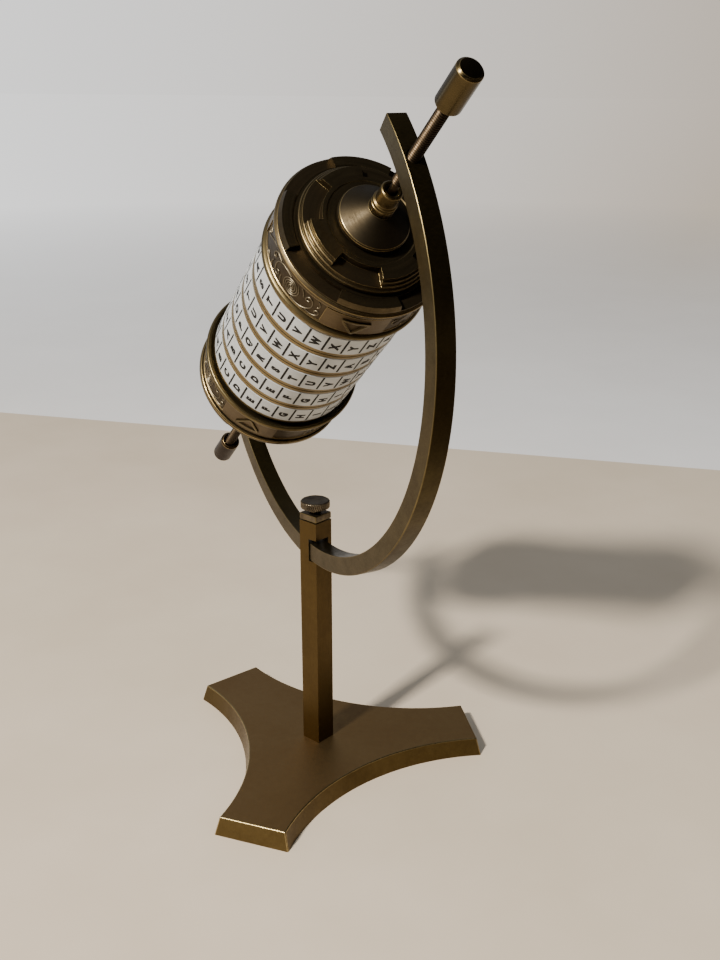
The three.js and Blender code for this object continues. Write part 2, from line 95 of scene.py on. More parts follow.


# %% [markdown]
# ## Metal finishes
#
# Old lacquered brass is one metal with several skins: a brushed or turned grain from the tool that
# cut it, brown patina in cloudy patches, tiny dark pits, and bright edges, partly rubbed bright by
# wear and partly a painted highlight. One function makes them all. The grain comes from a noise
# texture that is squeezed along one direction: straight for a bar, and round the axis for a piece
# off the lathe. It drives roughness and a very fine bump. Two more noises mix a patina colour into
# the metal. Painting a picture would fix one scale and one view, so the finishes are worked out
# from the object's own coordinates.

# %% Node helpers
def add_node(tree, kind, inputs=None, **settings):
    """Adds a node, sets its properties, and sets or links its inputs."""
    node = tree.nodes.new(kind)
    for key, value in settings.items():
        setattr(node, key, value)
    for key, value in (inputs or {}).items():
        if isinstance(value, bpy.types.NodeSocket):
            tree.links.new(value, node.inputs[key])
        else:
            node.inputs[key].default_value = value
    return node


def place_vector(tree, place):
    """Object coordinates carried back to a part's own upright space, in millimetres."""
    coordinates = add_node(tree, "ShaderNodeTexCoord")
    where, turn, scale = place.decompose()
    mapping = add_node(tree, "ShaderNodeMapping", {
        "Vector": coordinates.outputs["Object"], "Location": where,
        "Rotation": turn.to_euler(), "Scale": scale}, vector_type="TEXTURE")
    return mapping.outputs["Vector"]


def lathe_vector(tree, place):
    """Radius, height and angle of a point, for marks that run round the axis."""
    parts = add_node(tree, "ShaderNodeSeparateXYZ", {"Vector": place_vector(tree, place)}).outputs
    square_x = add_node(tree, "ShaderNodeMath", {0: parts["X"], 1: parts["X"]}, operation="MULTIPLY")
    square = add_node(tree, "ShaderNodeMath", {
        0: parts["Y"], 1: parts["Y"], 2: square_x.outputs[0]}, operation="MULTIPLY_ADD")
    radius = add_node(tree, "ShaderNodeMath", {0: square.outputs[0]}, operation="SQRT")
    angle = add_node(tree, "ShaderNodeMath", {0: parts["Y"], 1: parts["X"]}, operation="ARCTAN2")
    return add_node(tree, "ShaderNodeCombineXYZ", {
        "X": radius.outputs[0], "Y": parts["Z"], "Z": angle.outputs[0]}).outputs[0]


def noise(tree, vector, scale, squeeze=(1, 1, 1), detail=3, rough=0.6):
    """Noise from 0 to 1, squeezed along the axes; scale is in features per millimetre."""
    mapping = add_node(tree, "ShaderNodeMapping", {
        "Vector": vector, "Scale": [scale * part for part in squeeze]})
    return add_node(tree, "ShaderNodeTexNoise", {
        "Vector": mapping.outputs["Vector"], "Scale": 1.0, "Detail": detail,
        "Roughness": rough}).outputs["Fac"]


def ramp(tree, factor, stops):
    """A colour ramp from (position, colour) stops."""
    node = add_node(tree, "ShaderNodeValToRGB", {"Fac": factor})
    elements = node.color_ramp.elements
    while len(elements) < len(stops):
        elements.new(0.5)
    for element, (position, colour) in zip(elements, stops):
        element.position = position
        element.color = (*colour, 1)
    return node.outputs["Color"]


def span(tree, value, low, high, start=0.0, end=1.0):
    """Carries a value from start..end to low..high."""
    return add_node(tree, "ShaderNodeMapRange", {
        "Value": value, "From Min": start, "From Max": end, "To Min": low, "To Max": high,
    }).outputs["Result"]


def mix(tree, factor, first, second):
    """Mixes two colours or grey values."""
    node = add_node(tree, "ShaderNodeMix", data_type="RGBA")
    for index, value in ((0, factor), (6, first), (7, second)):
        if isinstance(value, bpy.types.NodeSocket):
            tree.links.new(value, node.inputs[index])
        else:
            node.inputs[index].default_value = value
    return node.outputs[2]


def new_material(name):
    """An empty node material with its shader."""
    material = bpy.data.materials.new(name)
    material.use_nodes = True
    tree = material.node_tree
    return material, tree, tree.nodes["Principled BSDF"]


# %% The metal itself
GRAIN_DEPTH = 0.00002
GRAIN_RELIEF = 0.35
GRAIN_BAR = {"length": (0.9, 7.0, 7.0), "width": (7.0, 0.9, 7.0), "height": (7.0, 7.0, 0.5)}
TURNED_MARKS = (9.0, 9.0, 1.2)


def aged_metal(name, bright, patina, rough=(0.3, 0.5), place=STAND, grain="turned",
               cover=(0.35, 0.75), cloud=0.09, pits=0.5, marks=1.0):
    """Brushed or turned brass or bronze with patina clouds, pits and worn streaks."""
    material, tree, shader = new_material(name)
    upright = place_vector(tree, place)
    if grain == "turned":
        streaks = noise(tree, lathe_vector(tree, place), marks, TURNED_MARKS, detail=4)
    else:
        streaks = noise(tree, upright, marks, GRAIN_BAR[grain], detail=4)
    clouds = noise(tree, upright, cloud, detail=6, rough=0.65)
    stain = noise(tree, upright, cloud * 9, detail=5, rough=0.7)
    specks = noise(tree, upright, 3.2, detail=2)
    cloudy = mix(tree, 0.35, clouds, stain)
    cover_factor = span(tree, cloudy, 0.0, 1.0, *cover)
    metal = mix(tree, span(tree, streaks, 0.0, 0.5, 0.35, 0.75), (*bright, 1),
                (*[part * 0.62 for part in bright], 1))
    skin = mix(tree, cover_factor, metal, (*patina, 1))
    pitted = mix(tree, span(tree, specks, 0.0, pits, 0.66, 0.8), skin,
                 (*[part * 0.25 for part in patina], 1))
    tree.links.new(pitted, shader.inputs["Base Color"])
    shader.inputs["Metallic"].default_value = 1.0
    base = span(tree, streaks, *rough, 0.3, 0.7)
    worn = add_node(tree, "ShaderNodeMath", {0: cover_factor, 1: 0.12, 2: base},
                    operation="MULTIPLY_ADD")
    tree.links.new(worn.outputs[0], shader.inputs["Roughness"])
    height = add_node(tree, "ShaderNodeMath", {0: specks, 1: -0.4, 2: streaks},
                      operation="MULTIPLY_ADD")
    relief = add_node(tree, "ShaderNodeBump", {
        "Strength": GRAIN_RELIEF, "Distance": GRAIN_DEPTH, "Height": height.outputs[0]})
    tree.links.new(relief.outputs["Normal"], shader.inputs["Normal"])
    return material


BRASS = (0.12, 0.078, 0.025)
PALE_BRASS = (0.26, 0.2, 0.1)
BROWN = (0.05, 0.03, 0.01)
DARK = (0.03, 0.021, 0.012)
RUBBED_AND_HIGHLIGHT = (0.36, 0.275, 0.13)

base_brass = aged_metal("base_brass", (0.31, 0.205, 0.088), (0.19, 0.118, 0.05), (0.34, 0.48),
                        grain="length", cover=(0.3, 0.7), cloud=0.05, marks=0.8)
# A darker copy of the base brass for the plate's sides: painted shade.
base_side_painted_shade = aged_metal("base_side_painted_shade", (0.12, 0.084, 0.032), (0.066, 0.042, 0.014),
                             (0.28, 0.42), grain="height", cloud=0.08)
post_brass = aged_metal("post_brass", BRASS, BROWN, (0.28, 0.45), grain="height",
                        cover=(0.1, 1.0), cloud=0.14, marks=0.9)
yoke_brass = aged_metal("yoke_brass", (0.085, 0.064, 0.025), (0.036, 0.025, 0.009), (0.26, 0.42),
                        grain="width", cover=(0.35, 0.75), cloud=0.16)
# Bright finishes for bevel faces: edges rubbed bright by wear, brightened further as a painted
# highlight.
rubbed_edge_and_highlight = aged_metal("rubbed_edge_and_highlight", RUBBED_AND_HIGHLIGHT, BRASS, (0.2, 0.34), grain="height",
                         cover=(0.45, 0.8), cloud=0.3, pits=0.3)
yoke_edge_wear_and_highlight = aged_metal("yoke_edge_wear_and_highlight", (0.2, 0.155, 0.07), (0.085, 0.064, 0.025), (0.22, 0.36),
                       grain="width", cloud=0.3)
clamp_bronze = aged_metal("clamp_bronze", (0.17, 0.14, 0.095), DARK, (0.28, 0.42), cloud=0.3,
                          cover=(0.4, 0.7))


KNOBS = {"upper": ((0.08, 0.059, 0.026), (0.17, 0.3)), "lower": ((0.024, 0.014, 0.009), (0.32, 0.46))}


def end_finishes(end):
    """The finishes of one end of the lock, with grain round the lock's own axis."""
    place = PLACES[end]
    knob, polish = KNOBS[end]
    knob_patina = [part * 0.6 for part in knob]
    return {
        "cap": aged_metal(f"{end}_cap_bronze", (0.125, 0.096, 0.052), (0.032, 0.023, 0.012),
                          (0.27, 0.42), place, cover=(0.36, 0.72), cloud=0.12),
        # The floor material is a darker copy of the cap metal: painted shade for milled floors and
        # sunk grounds.
        "floor": aged_metal(f"{end}_cap_recess_painted_shade", (0.075, 0.056, 0.031), DARK, (0.36, 0.5), place,
                            cloud=0.2),
        "plain": aged_metal(f"{end}_band_plain", (0.13, 0.096, 0.053), (0.08, 0.056, 0.029),
                            (0.26, 0.4), place, cloud=0.2),
        "scroll": aged_metal(f"{end}_scroll_brass", (0.24, 0.205, 0.14), (0.12, 0.096, 0.06),
                             (0.4, 0.55), place, cloud=0.3),
        # Bright bevel faces: rubbed wear and a painted highlight.
        "edge": aged_metal(f"{end}_cap_edge_wear_and_highlight", RUBBED_AND_HIGHLIGHT, BRASS, (0.18, 0.32), place, cloud=0.35,
                           pits=0.3),
        "rim": aged_metal(f"{end}_rim_brass", (0.175, 0.138, 0.068), (0.08, 0.058, 0.025),
                          (0.22, 0.36), place, cloud=0.15),
        "hub": aged_metal(f"{end}_hub_bronze", (0.042, 0.033, 0.02), (0.018, 0.013, 0.007),
                          (0.36, 0.52), place, cover=(0.42, 0.8), cloud=0.12, marks=1.4),
        "socket": aged_metal(f"{end}_socket_brass", (0.17, 0.125, 0.052), (0.06, 0.04, 0.016),
                             (0.2, 0.34), place, cloud=0.3),
        "knob": aged_metal(f"{end}_knob_bronze", knob, knob_patina, polish, place, cloud=0.25,
                           cover=(0.45, 0.85)),
        "thread": aged_metal(f"{end}_thread_bronze", (0.042, 0.029, 0.017), DARK, (0.3, 0.45), place,
                             cloud=0.4),
    }


finishes = {end: end_finishes(end) for end in PLACES}
ring_brass = aged_metal("ring_brass", PALE_BRASS, (0.2, 0.14, 0.065), (0.3, 0.44), UPPER,
                        cloud=0.16, cover=(0.42, 0.8))
worked_steel = aged_metal("worked_steel", (0.6, 0.6, 0.58), (0.3, 0.29, 0.27), (0.24, 0.4), UPPER,
                          cloud=0.3)
print("metals:", len(bpy.data.materials))

# %% [markdown]
# ## White enamel and black ink
#
# The letter strips are white lacquered bands, a little cloudy and dusty, with black printed letters
# that are nearly matt. Lacquer is not metal: a plain dielectric shader with a thin coat is enough,
# and two soft noises keep the white from looking like paper.

# %% Enamel and ink
def enamel():
    """White lacquer with faint clouds and dust."""
    material, tree, shader = new_material("white_enamel")
    upright = place_vector(tree, UPPER)
    clouds = noise(tree, upright, 0.22, detail=5)
    dust = noise(tree, upright, 2.5, detail=3)
    white = ramp(tree, clouds, [(0.3, (0.335, 0.35, 0.352)), (0.7, (0.415, 0.435, 0.44))])
    dusty = mix(tree, span(tree, dust, 0.0, 0.55, 0.62, 0.8), white, (0.42, 0.38, 0.31, 1))
    tree.links.new(dusty, shader.inputs["Base Color"])
    tree.links.new(span(tree, dust, 0.28, 0.5, 0.3, 0.7), shader.inputs["Roughness"])
    shader.inputs["Coat Weight"].default_value = 0.25
    shader.inputs["Coat Roughness"].default_value = 0.2
    relief = add_node(tree, "ShaderNodeBump", {
        "Strength": 0.25, "Distance": GRAIN_DEPTH, "Height": dust})
    tree.links.new(relief.outputs["Normal"], shader.inputs["Normal"])
    return material


def ink():
    """Black enamel paint with small uneven patches."""
    material, tree, shader = new_material("black_ink")
    patches = noise(tree, place_vector(tree, UPPER), 1.8, detail=4)
    black = ramp(tree, patches, [(0.35, (0.002, 0.002, 0.002)), (0.75, (0.008, 0.008, 0.008))])
    tree.links.new(black, shader.inputs["Base Color"])
    tree.links.new(span(tree, patches, 0.5, 0.7, 0.3, 0.7), shader.inputs["Roughness"])
    shader.inputs["Specular IOR Level"].default_value = 0.2
    return material


white_enamel = enamel()
black_ink = ink()

# %% [markdown]
# ## Modelling tools
#
# Nearly every part comes off a lathe, so the main tool spins an outline about the Z axis. A second
# one softens the sharp edges with a narrow bevel and gives the new faces a brighter finish: on old
# brass the edges are rubbed bright by hands while the flats stay brown, and the brighter bevel faces
# are also a painted highlight along every edge. A third cuts one closed shape out of another. It
# uses a Boolean modifier and keeps only the result, because cutting slots and battlements face by
# face would hide the idea behind the bookkeeping.

# %% Lathe, bevel and cut
LATHE_STEPS = 120
EDGE_LIMIT = math.radians(24)


def turned(corners, steps=LATHE_STEPS, sweep=math.tau):
    """Spins [radius, height] corners about Z. Corners that start off the axis close on themselves."""
    bm = bmesh.new()
    verts = [bm.verts.new((radius, 0, height)) for radius, height in corners]
    edges = [bm.edges.new(pair) for pair in zip(verts, verts[1:])]
    closed = corners[0][0] > 0
    if closed:
        edges.append(bm.edges.new((verts[-1], verts[0])))
    whole = math.isclose(sweep, math.tau)
    bmesh.ops.spin(bm, geom=verts + edges, axis=(0, 0, 1), angle=sweep, steps=steps,
                   use_merge=whole)
    bmesh.ops.remove_doubles(bm, verts=bm.verts, dist=1e-4)
    bmesh.ops.dissolve_degenerate(bm, edges=bm.edges, dist=1e-5)
    if not whole:
        bmesh.ops.holes_fill(bm, edges=bm.edges, sides=0)
    bmesh.ops.recalc_face_normals(bm, faces=bm.faces)
    return bm


def sharp_edges(bm):
    """Edges where two faces meet at more than the limit."""
    return [edge for edge in bm.edges if len(edge.link_faces) == 2
            and edge.calc_face_angle() > EDGE_LIMIT]


def soften(bm, width, segments=2, slot=1):
    """Bevels the sharp edges and gives the new faces a material slot; -1 keeps their neighbours'."""
    bmesh.ops.bevel(bm, geom=sharp_edges(bm), offset=width, offset_type="OFFSET",
                    segments=segments, profile=0.5, affect="EDGES", clamp_overlap=True,
                    material=slot)
    return bm


def linked(name, data):
    """Puts a mesh, curve, light or camera into the scene."""
    holder = bpy.data.objects.new(name, data)
    bpy.context.scene.collection.objects.link(holder)
    return holder


def finished_mesh(name, bm, materials=()):
    """Turns a worked mesh into a stored one with its materials."""
    mesh = bpy.data.meshes.new(name)
    bm.to_mesh(mesh)
    bm.free()
    for material in materials:
        mesh.materials.append(material)
    return mesh


def opened(mesh):
    """Opens a stored mesh for work and throws the stored one away."""
    bm = bmesh.new()
    bm.from_mesh(mesh)
    bpy.data.meshes.remove(mesh)
    return bm


def curve_mesh(data):
    """The mesh of a curve or a text."""
    holder = linked("curve", data)
    mesh = bpy.data.meshes.new_from_object(
        holder.evaluated_get(bpy.context.evaluated_depsgraph_get()))
    bpy.data.objects.remove(holder)
    return opened(mesh)


def cut_away(bm, *tools):
    """Cuts closed tool meshes out of a closed mesh and returns the result."""
    for tool in tools:
        body, cutter = (linked("cut", finished_mesh("cut", shape)) for shape in (bm, tool))
        modifier = body.modifiers.new("cut", "BOOLEAN")
        modifier.operation, modifier.solver, modifier.object = "DIFFERENCE", "EXACT", cutter
        result = body.evaluated_get(bpy.context.evaluated_depsgraph_get())
        bm = bmesh.new()
        bm.from_mesh(result.to_mesh())
        for holder in (body, cutter):
            bpy.data.objects.remove(holder)
    bmesh.ops.remove_doubles(bm, verts=bm.verts, dist=1e-4)
    bmesh.ops.dissolve_degenerate(bm, edges=bm.edges, dist=1e-4)
    return bm


def merged_copy(node):
    """A CAD node's mesh in millimetres, with its loose triangles merged into flat faces."""
    bm = bmesh.new()
    bm.from_mesh(frame["nodes"][node].data)
    bmesh.ops.scale(bm, vec=(1000, 1000, 1000), verts=bm.verts)
    bmesh.ops.remove_doubles(bm, verts=bm.verts, dist=1e-3)
    bmesh.ops.dissolve_limit(bm, angle_limit=math.radians(0.5), verts=bm.verts, edges=bm.edges)
    return bm


# %% Turn a mesh into a piece of the object
def add_piece(name, bm, place, body, materials, nodes=()):
    """Bakes the place into the mesh, shades it, and makes it ride on its body."""
    bmesh.ops.transform(bm, matrix=place, verts=bm.verts)
    open_edges = sum(1 for edge in bm.edges if len(edge.link_faces) != 2)
    for face in bm.faces:
        face.smooth = True
    for edge in bm.edges:
        edge.smooth = True
    for edge in sharp_edges(bm):
        edge.smooth = False
    mesh = finished_mesh(name, bm, materials)
    piece = linked(name, mesh)
    even = piece.modifiers.new("even_shading", "WEIGHTED_NORMAL")
    even.keep_sharp = True
    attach(piece, body)
    if nodes:
        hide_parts(*nodes)
    print(f"{name}: {len(mesh.polygons)} faces, {open_edges} open edges")
    return piece


# %% [markdown]
# ## Base plate
#
# The foot is a three-armed plate with square tips, hollowed sides and sloping edges, milled from
# thick sheet. A sculpted block would need many loops to hold its long hollow arcs. Here each arc is
# one vertex spun about a centre outside the plate, the outline is filled, and an inset that also
# rises makes all the sloping sides in one step.

# %% Base plate
base_low, base_high = box_mm("base_plate")
BASE_THICKNESS = base_high.z - base_low.z
ARM_REACH = 44.5
ARM_WIDTH = 18.6
WAIST = 20.1
DRAFT = 1.1
FIRST_ARM = math.radians(313.3)
SIDE_STEPS = 40


def base_plate():
    """The plate's underside outline, filled, then inset upwards to its top."""
    reach, half_width, waist = ARM_REACH + DRAFT, ARM_WIDTH / 2 + DRAFT, WAIST + DRAFT
    corner = Vector((reach, half_width))
    out = corner.length * math.cos(math.pi / 3 - math.atan2(half_width, reach))
    across = corner.length * math.sin(math.pi / 3 - math.atan2(half_width, reach))
    centre = (out * out + across * across - waist * waist) / (2 * (out - waist))
    sweep = math.asin(across / (centre - waist))
    bm = bmesh.new()
    for arm in range(3):
        middle = FIRST_ARM + math.pi / 3 + arm * math.tau / 3
        turn = Matrix.Rotation(middle, 3, "Z")
        start = bm.verts.new(turn @ Vector((out, -across, 0)))
        bmesh.ops.spin(bm, geom=[start], cent=turn @ Vector((centre, 0, 0)), axis=(0, 0, 1),
                       angle=-2 * sweep, steps=SIDE_STEPS)
    ends = [vert for vert in bm.verts if len(vert.link_edges) == 1]
    while ends:
        vert = ends.pop()
        near = min(ends, key=lambda other: (other.co - vert.co).length)
        bm.edges.new((vert, near))
        ends.remove(near)
    outline = bm.edges[:]
    under = bmesh.ops.contextual_create(bm, geom=outline)["faces"][0]
    under.normal_update()
    if under.normal.z < 0:
        under.normal_flip()
    bmesh.ops.inset_region(bm, faces=[under], thickness=DRAFT, depth=BASE_THICKNESS,
                           use_even_offset=True, use_boundary=True)
    bmesh.ops.contextual_create(bm, geom=outline)
    bmesh.ops.recalc_face_normals(bm, faces=bm.faces)
    return bm


plate = base_plate()
# Top faces take the lighter brass and all other faces the darker copy: painted shade on the sides.
for face in plate.faces:
    face.material_index = 0 if face.normal.z > 0.9 else 2
soften(plate, 0.32, segments=3)
add_piece("base_casting", plate, STAND, "stand",
          [base_brass, rubbed_edge_and_highlight, base_side_painted_shade], ["base_plate"])

# %% [markdown]
# ## Post and clamp
#
# The post is square bar with a slot near its top, and a small plate that the clamp screw passes
# through. Their frame shapes are already right, so the copies are only merged and softened. The
# thumbscrew's head is knurled with slanting grooves: the rim is spun with many rows, and every
# second slanting column is pressed in.

# %% Post, clamp plate and clamp screw
post = soften(merged_copy("post"), 0.28)
add_piece("square_post", post, STAND, "stand", [post_brass, rubbed_edge_and_highlight], ["post"])
clamp_plate = soften(merged_copy("clamp_cap"), 0.22)
add_piece("clamp_plate", clamp_plate, STAND, "stand", [clamp_bronze, yoke_edge_wear_and_highlight],
          ["clamp_cap"])

screw_low, screw_high = box_mm("clamp_screw")
HEAD_RADIUS = (screw_high.x - screw_low.x) / 2
HEAD_THICKNESS = 2.1
NECK_RADIUS = 1.6
SHAFT_RADIUS = 1.2
KNURLS = 44
KNURL_ROWS = 8
KNURL_DEPTH = 0.16


def clamp_screw():
    """A knurled head with a dished top on a necked shaft."""
    top, shoulder = screw_high.z, screw_high.z - HEAD_THICKNESS
    neck_bottom = box_mm("clamp_cap")[1].z + 0.3
    rim = [(HEAD_RADIUS - 0.02, shoulder + 0.3 + 1.5 * row / KNURL_ROWS)
           for row in range(KNURL_ROWS + 1)]
    bm = turned([
        (0, screw_low.z), (SHAFT_RADIUS, screw_low.z), (SHAFT_RADIUS, neck_bottom),
        (NECK_RADIUS, neck_bottom), (NECK_RADIUS, shoulder), (HEAD_RADIUS - 0.45, shoulder),
        (HEAD_RADIUS - 0.12, shoulder + 0.18), *rim, (HEAD_RADIUS - 0.14, top - 0.16),
        (HEAD_RADIUS - 0.42, top), (HEAD_RADIUS - 1.4, top - 0.06), (0, top - 0.1),
    ], steps=KNURLS * 4)
    for vert in bm.verts:
        if vert.co.xy.length < HEAD_RADIUS - 0.05:
            continue
        climb = (vert.co.z - shoulder) / HEAD_THICKNESS
        phase = math.atan2(vert.co.y, vert.co.x) * KNURLS + climb * math.tau * 1.1
        press = KNURL_DEPTH * (0.5 + 0.5 * math.cos(phase))
        vert.co.xy *= 1 - press / HEAD_RADIUS
    return bm


add_piece("clamp_thumbscrew", clamp_screw(), STAND, "clamp_knob", [clamp_bronze],
          ["clamp_screw"])

# %% [markdown]
# ## Yoke
#
# The yoke is a square bar rolled to a C. A curve with a bevel would make it too, but its section
# would be centred and hard to bore. Spinning one square face about the yoke's centre gives the same
# bar with straight sides that a bevel can soften, and the two screw holes are cut at the end.

# %% Yoke
tilt_joint = joints["yoke_tilt"]
yoke_centre = Vector(tilt_joint["pos_m"]) * 1000
YOKE_INNER = 61.8
YOKE_OUTER = 66.6
YOKE_WIDTH = 4.8
YOKE_OVERHANG = math.radians(9.8)
YOKE_STEPS = 150
HOLE_RADIUS = 1.8
lock_tilt = math.asin(lock_axis.z)


def yoke():
    """A square face spun from beyond the lower screw to beyond the upper one."""
    bm = bmesh.new()
    bmesh.ops.create_grid(bm, x_segments=1, y_segments=1, size=YOKE_WIDTH / 2)
    middle = (YOKE_INNER + YOKE_OUTER) / 2
    bmesh.ops.translate(bm, vec=(middle, 0, 0), verts=bm.verts)
    sweep = math.pi + 2 * YOKE_OVERHANG
    start = Matrix.Rotation(-(math.pi + lock_tilt - YOKE_OVERHANG), 4, "Y")
    bmesh.ops.rotate(bm, matrix=start, verts=bm.verts)
    bmesh.ops.spin(bm, geom=bm.faces[:] + bm.edges[:] + bm.verts[:], axis=(0, -1, 0), angle=sweep,
                   steps=YOKE_STEPS)
    open_edges = [edge for edge in bm.edges if len(edge.link_faces) == 1]
    bmesh.ops.holes_fill(bm, edges=open_edges, sides=0)
    bmesh.ops.recalc_face_normals(bm, faces=bm.faces)
    soften(bm, 0.22, segments=3)
    holes = bmesh.new()
    bmesh.ops.create_cone(holes, cap_ends=True, segments=48, radius1=HOLE_RADIUS,
                          radius2=HOLE_RADIUS, depth=3 * YOKE_OUTER)
    bmesh.ops.rotate(holes, matrix=lock_turn, verts=holes.verts)
    bm = cut_away(bm, holes)
    bmesh.ops.translate(bm, vec=yoke_centre, verts=bm.verts)
    return bm


add_piece("bent_yoke", yoke(), STAND, "yoke", [yoke_brass, yoke_edge_wear_and_highlight],
          ["yoke_arc"])

# %% [markdown]
# ## Pivot thumbscrews
#
# Each end of the lock turns on a long fine-threaded screw with a plain round knob. A thread looks
# right only if it really climbs: one tooth's outline is spun many turns while it moves one pitch
# for each turn, and the neighbouring turns merge into one skin. Stacked rings would be simpler, but
# the end of the screw would then show closed circles.

# %% Threads, knobs and points
PITCH = 0.65
THREAD_DEPTH = 0.3
THREAD_STEPS = 20


def thread(radius, bottom, top):
    """A threaded rod about Z between two heights."""
    turns = math.ceil((top - bottom) / PITCH) + 2
    bm = bmesh.new()
    root = radius - THREAD_DEPTH
    outline = [(root, 0), (radius, 0.4), (radius, 0.6), (root, 1)]
    verts = [bm.verts.new((reach, 0, bottom + (climb - 1.5) * PITCH)) for reach, climb in outline]
    edges = [bm.edges.new(pair) for pair in zip(verts, verts[1:])]
    bmesh.ops.spin(bm, geom=verts + edges, axis=(0, 0, 1), dvec=(0, 0, PITCH / THREAD_STEPS),
                   angle=math.tau * turns, steps=THREAD_STEPS * turns)
    bmesh.ops.remove_doubles(bm, verts=bm.verts, dist=PITCH * 0.02)
    for height, side in ((bottom, -1), (top, 1)):
        bmesh.ops.bisect_plane(bm, geom=bm.faces[:] + bm.edges[:] + bm.verts[:], dist=1e-5,
                               plane_co=(0, 0, height), plane_no=(0, 0, side), clear_outer=True)
    open_edges = [edge for edge in bm.edges if len(edge.link_faces) == 1]
    bmesh.ops.holes_fill(bm, edges=open_edges, sides=0)
    bmesh.ops.recalc_face_normals(bm, faces=bm.faces)
    return bm


def pivot_pieces(end):
    """The point, threaded rod and knob of one end."""
    place, skin = PLACES[end], finishes[end]
    tip_low, tip_high, tip_radius = along_axis(f"{end}_pivot_tip", place)
    point = turned([
        (0, tip_low), (tip_radius * 0.55, tip_low + 0.5), (tip_radius, tip_low + 1.1),
        (tip_radius, tip_high), (0, tip_high)], steps=32)
    add_piece(f"{end}_point", point, place, f"{end}_point", [skin["thread"]],
              [f"{end}_pivot_tip"])
    rod_low, rod_high, rod_radius = along_axis(f"{end}_pivot_screw", place)
    add_piece(f"{end}_threaded_rod", thread(rod_radius, rod_low, rod_high), place,
              f"{end}_screw", [skin["thread"]], [f"{end}_pivot_screw"])
    low, high, radius = along_axis(f"{end}_pivot_knob", place)
    knob = turned([
        (rod_radius + 0.3, low), (radius - 0.5, low), (radius, low + 0.5), (radius, high - 0.55),
        (radius - 0.55, high), (0, high),
        (0, rod_high + 0.3), (rod_radius + 0.3, rod_high + 0.3)], steps=72)
    soften(knob, 0.08)
    add_piece(f"{end}_round_knob", knob, place, f"{end}_screw",
              [skin["knob"], skin["edge"]], [f"{end}_pivot_knob"])


for end in PLACES:
    pivot_pieces(end)

# %% [markdown]
# ## Wrapping flat shapes round a drum
#
# Letters, lines, scrolls and the pointer frames are easiest to draw flat. X then runs round the
# drum, Y runs along its axis, and Z stands out of its skin. A flat face cannot bend, so the shape is
# first sliced into narrow strips, and then each point is carried to its angle, height and radius.

# %% Slice and wrap
SLICE = 0.45


def sliced(bm):
    """Slices a flat shape across X so that it can follow a curve."""
    low = min(vert.co.x for vert in bm.verts)
    high = max(vert.co.x for vert in bm.verts)
    for index in range(1, math.ceil((high - low) / SLICE)):
        bmesh.ops.bisect_plane(bm, geom=bm.faces[:] + bm.edges[:] + bm.verts[:], dist=1e-5,
                               plane_co=(low + index * SLICE, 0, 0), plane_no=(1, 0, 0))
    return bm


def wrap(bm, radius, angle, height):
    """Rolls a flat shape onto a drum: its origin lands at the angle and height."""
    for vert in bm.verts:
        turn = angle + vert.co.x / radius
        reach = radius + vert.co.z
        vert.co = (reach * math.cos(turn), reach * math.sin(turn), height + vert.co.y)
    return bm


def gather(target, bm):
    """Adds a mesh to a growing one."""
    mesh = finished_mesh("gathered", bm)
    target.from_mesh(mesh)
    bpy.data.meshes.remove(mesh)


# %% [markdown]
# ## Stepped caps
#
# Each cap is a stack: a rounded flange beside the rings, a decorated band, a lip, a low tier and a
# crown with four raised sectors each, a cone and a two-step socket. All of them come off the lathe
# and the battlements are milled, so the sectors between the raised ones are cut with a spun tool.

# %% Flange, lip and tiers
BATTLEMENTS = 4
RAISED = math.radians(44)
TIER_FIRST = math.radians(256)
CROWN_FIRST = math.radians(285)
BAND_WALL = 16.5
SECTOR_STEPS = 16
# Slot of the darker floor material: painted shade in recesses.
SHADED_FLOOR_SLOT = 2


def low_sectors(inner, outer, bottom, top, first):
    """Tools that mill the low parts between raised sectors."""
    period = math.tau / BATTLEMENTS
    tools = []
    for index in range(BATTLEMENTS):
        tool = turned([(inner, bottom), (outer, bottom), (outer, top), (inner, top)],
                      steps=SECTOR_STEPS, sweep=period - RAISED)
        start = first + RAISED / 2 + index * period
        bmesh.ops.rotate(tool, matrix=Matrix.Rotation(start, 3, "Z"), verts=tool.verts)
        tools.append(tool)
    return tools


def paint_shade_on_floors(bm, height):
    """Gives the milled floors at a height the darker material: painted shade in the recesses."""
    for face in bm.faces:
        flat = face.normal.z > 0.9
        if flat and abs(face.calc_center_median().z - height) < 0.05:
            face.material_index = SHADED_FLOOR_SLOT


